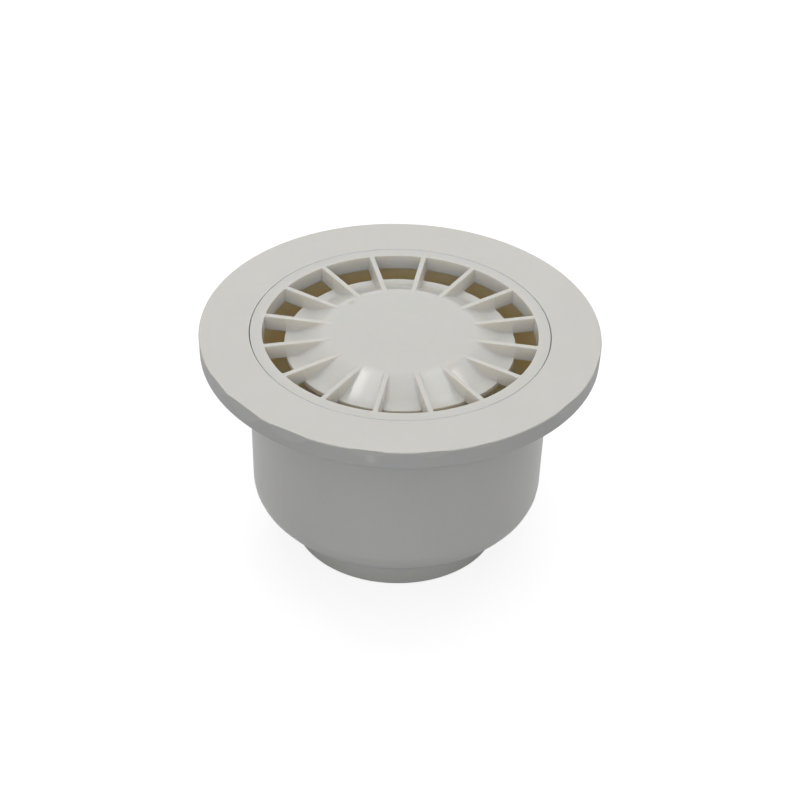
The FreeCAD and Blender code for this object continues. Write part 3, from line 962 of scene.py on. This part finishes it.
class DRAIN_OT_grate(bpy.types.Operator):
    """Moulds the grate: a closed middle with petals, a ring of ribs, and the rim"""
    bl_idname = "drain.grate"
    bl_label = "Grate"

    def execute(self, context):
        sizes = context.scene.floor_drain.grate
        finish = context.scene.floor_drain.finish
        top = TOP - GRATE_SINK
        lip_level = top - sizes.petal_drop
        under = top - sizes.plate
        bottom = GRATE_HIGH.z - context.scene.floor_drain.body.seat_depth
        slope = math.atan2(sizes.petal_drop, sizes.foot_radius - sizes.head_radius)
        shift = sizes.plate * math.tan(slope / 2)
        crest_under = sizes.petal_round - sizes.plate
        foot_under = sizes.petal_round + sizes.plate
        upper = [
            (0.0, top, 0.0),
            (sizes.head_radius, top, sizes.petal_round),
            (sizes.foot_radius, lip_level, sizes.petal_round),
            (sizes.lip_radius, lip_level, LIP_ROUND),
        ]
        petal = rounded_section(upper[:3] + [(sizes.lip_radius, lip_level, 0.0)], closed=False)
        corners = upper + [
            (sizes.lip_radius, lip_level - sizes.plate, LIP_ROUND),
            (sizes.foot_radius - shift, lip_level - sizes.plate, foot_under),
            (sizes.head_radius - shift, under, crest_under),
            (0.0, under, 0.0),
        ]
        skin = plastic("grate_polished_plastic", (finish.grate_colour, finish.grate_shade),
                       finish.grate_gloss, GRATE_RELIEF, spot=(STAIN, finish.stain_colour), ring=CORE_RING,
                       glow=GRATE_GLOW)
        plate = turned_mesh("petals", corners, False, sizes.steps, skin)
        rim = turned_mesh("rim", [
            (sizes.rim_bore, top, sizes.rim_round),
            (sizes.radius, top, sizes.rim_round),
            (sizes.radius, bottom, sizes.rim_round),
            (sizes.rim_bore - sizes.rim_draft, bottom, RIM_FOOT_ROUND),
        ], True, sizes.steps, skin)
        rib = rib_mesh(sizes, petal, under)
        ribs = run_tree(rib, ring_tree(), {
            "Count": sizes.rib_count, "Turn": sizes.turn, "Material": skin})
        piece = moulded_piece("slotted_grate", [plate, ribs, rim], [skin])
        piece.data.set_sharp_from_angle(angle=GRATE_CREASE)
        put_in_frame(piece, "grate")
        return {"FINISHED"}


def floor_material(settings):
    """Floor that the camera sees as white with a soft shadow.

    As it lights the drain it is dimmer, and dark close to the outlet. From below it is clear.
    """
    material = bpy.data.materials.new("studio_floor")
    tree = emptied_tree(material)
    path = add_node(tree, "ShaderNodeLightPath").outputs
    where = add_node(tree, "ShaderNodeTexCoord").outputs["Object"]
    out = vector_node(tree, "LENGTH", where)["Value"]
    clear_of = ranged(tree, out, *CONTACT_SHADE)
    kept = math_node(tree, "MAXIMUM", path["Is Camera Ray"], clear_of)
    viewed = math_node(tree, "MAXIMUM", path["Is Camera Ray"], path["Is Glossy Ray"])
    seen = math_node(tree, "MULTIPLY", viewed, kept)
    fleck = noise(tree, where, Scale=90.0, Detail=3.0)
    even = ranged(tree, fleck, 0.0, 1.0, FLECK_SHADE, 1.0)
    level = math_node(tree, "MULTIPLY", even, kept)
    tint = mixed_colour(tree, seen, settings.floor_bounce, settings.floor_colour)
    scaled = vector_node(tree, "SCALE", tint, Scale=level)["Vector"]
    matte = add_node(tree, "ShaderNodeBsdfDiffuse", Color=scaled)
    lift = math_node(tree, "MULTIPLY", seen, FLOOR_LIFT)
    glow = add_node(tree, "ShaderNodeEmission", Color=WHITE, Strength=lift)
    both = add_node(tree, "ShaderNodeAddShader", matte.outputs[0], glow.outputs[0])
    side = add_node(tree, "ShaderNodeNewGeometry")
    clear = add_node(tree, "ShaderNodeBsdfTransparent")
    shown = add_node(tree, "ShaderNodeMixShader", side.outputs["Backfacing"], both.outputs[0],
                     clear.outputs[0])
    add_node(tree, "ShaderNodeOutputMaterial", Surface=shown.outputs[0])
    return material


def light_world(settings):
    """White surroundings for the camera and for gloss, and a dimmer, level sky for the rest."""
    world = bpy.data.worlds.new("studio_surroundings")
    tree = emptied_tree(world)
    bpy.context.scene.world = world
    path = add_node(tree, "ShaderNodeLightPath").outputs
    seen = math_node(tree, "MAXIMUM", path["Is Camera Ray"], path["Is Glossy Ray"])
    clear = math_node(tree, "MAXIMUM", seen, path["Is Transmission Ray"])
    level = ranged(tree, clear, 0.0, 1.0, settings.sky, 1.0)
    glow = add_node(tree, "ShaderNodeBackground", Color=WHITE, Strength=level)
    add_node(tree, "ShaderNodeOutputWorld", Surface=glow.outputs[0])


def hang_panel(name, place, facing, width, height, power, tint=WHITE):
    """A rectangular lamp that faces a direction."""
    lamp = bpy.data.lights.new(name, "AREA")
    lamp.shape = "RECTANGLE"
    lamp.size = width
    lamp.size_y = height
    lamp.energy = power
    lamp.color = tint[:3]
    aim = Vector(facing).to_track_quat("-Z", "Y").to_matrix().to_4x4()
    new_object(name, lamp).matrix_world = Matrix.Translation(place) @ aim


def mirrored_place(away, slope, bearing):
    """Point overhead that the camera sees mirrored in a petal of this slope and bearing, in degrees."""
    tilt, turn = math.radians(slope), math.radians(bearing)
    normal = Vector((math.sin(tilt) * math.sin(turn), -math.sin(tilt) * math.cos(turn), math.cos(tilt)))
    ray = 2.0 * normal.dot(away) * normal - away
    return Vector((0.0, 0.0, TOP)) + ray * (STRIP_HEIGHT / ray.z)


def hang_strip(name, away, bearings, glow, least):
    """A tapered strip lamp that shows as a gleam down the petals, from the least slope."""
    sheet = bpy.data.meshes.new(name)
    first, last = bearings
    points = []
    for slope, wide in STRIP_ROWS:
        if slope < least:
            continue
        points.append(mirrored_place(away, slope, first))
        points.append(mirrored_place(away, slope, first + (last - first) * wide))
    faces = [(row, row + 1, row + 3, row + 2) for row in range(0, len(points) - 2, 2)]
    sheet.from_pydata(points, [], faces)
    material = bpy.data.materials.new(name)
    tree = emptied_tree(material)
    light = add_node(tree, "ShaderNodeEmission", Color=WHITE, Strength=glow)
    add_node(tree, "ShaderNodeOutputMaterial", Surface=light.outputs[0])
    sheet.materials.append(material)
    strip = new_object(name, sheet)
    strip.visible_camera = False


def lay_floor(settings):
    """A wide sheet just under the drain."""
    sheet = bpy.data.meshes.new("studio_floor")
    corners = [(x * FLOOR_HALF, y * FLOOR_HALF, 0.0) for x, y in ((-1, -1), (1, -1), (1, 1), (-1, 1))]
    sheet.from_pydata(corners, [], [(0, 1, 2, 3)])
    sheet.materials.append(floor_material(settings))
    floor = new_object("studio_floor", sheet)
    floor.location.z = CAD_BOX[0].z - FLOOR_DROP


def place_camera(settings, away):
    """The camera at the photograph's viewing angle."""
    lens = bpy.data.cameras.new("product_camera")
    lens.sensor_width = SENSOR_WIDTH
    lens.lens = settings.lens
    lens.clip_start = CLIP_START
    lens.clip_end = CLIP_END
    camera = new_object("product_camera", lens)
    place = Matrix.Translation(Vector((0.0, 0.0, TOP)) + away * settings.distance)
    pitch = Matrix.Rotation(math.pi / 2 - settings.elevation, 4, "X")
    roll = Matrix.Rotation(settings.roll, 4, "Z")
    drop = Matrix.Rotation(-settings.drop, 4, "X")
    pan = Matrix.Rotation(settings.pan, 4, "Y")
    camera.matrix_world = place @ pitch @ roll @ drop @ pan
    bpy.context.scene.camera = camera


class DRAIN_OT_stage(bpy.types.Operator):
    """Sets the floor, the surroundings, the lamps and the camera"""
    bl_idname = "drain.stage"
    bl_label = "Stage"

    def execute(self, context):
        settings = context.scene.floor_drain.stage
        context.scene.view_settings.view_transform = "Standard"
        away = Vector((0.0, -math.cos(settings.elevation), math.sin(settings.elevation)))
        lay_floor(settings)
        light_world(settings)
        for name, bearings, glow, part, least in STRIPS:
            hang_strip(name, away, bearings, getattr(settings, glow) * part, least)
        hang_panel("top_panel", *TOP_PANEL, settings.top_power)
        hang_panel("front_panel", *FRONT_PANEL, settings.front_power, tint=settings.front_tint)
        place_camera(settings, away)
        return {"FINISHED"}


class DRAIN_PT_sidebar(bpy.types.Panel):
    """Lists the drain's pieces and their settings"""
    bl_idname = "DRAIN_PT_sidebar"
    bl_label = "Floor drain"
    bl_space_type = "VIEW_3D"
    bl_region_type = "UI"
    bl_category = "Floor drain"

    def draw(self, context):
        settings = context.scene.floor_drain
        for operator, groups in PANEL_ROWS:
            box = self.layout.box()
            box.operator(operator)
            for group in groups:
                values = getattr(settings, group)
                for name in values.__annotations__:
                    box.prop(values, name)


PANEL_ROWS = [("drain.body", ["body", "finish"]), ("drain.bell", ["bell"]), ("drain.grate", ["grate"]),
              ("drain.stage", ["stage"])]
CLASSES = [DrainBodySizes, TrapBellSizes, GrateSizes, PlasticFinish, StageSettings, FloorDrainSettings,
           DRAIN_OT_body, DRAIN_OT_bell, DRAIN_OT_grate, DRAIN_OT_stage, DRAIN_PT_sidebar]


def register():
    for kind in CLASSES:
        bpy.utils.register_class(kind)
    bpy.types.Scene.floor_drain = PointerProperty(type=FloorDrainSettings)


def unregister():
    del bpy.types.Scene.floor_drain
    for kind in reversed(CLASSES):
        bpy.utils.unregister_class(kind)


def main():
    """Builds the drain and its stage."""
    register()
    bpy.ops.drain.body()
    bpy.ops.drain.bell()
    bpy.ops.drain.grate()
    bpy.ops.drain.stage()


if __name__ == "__main__":
    main()
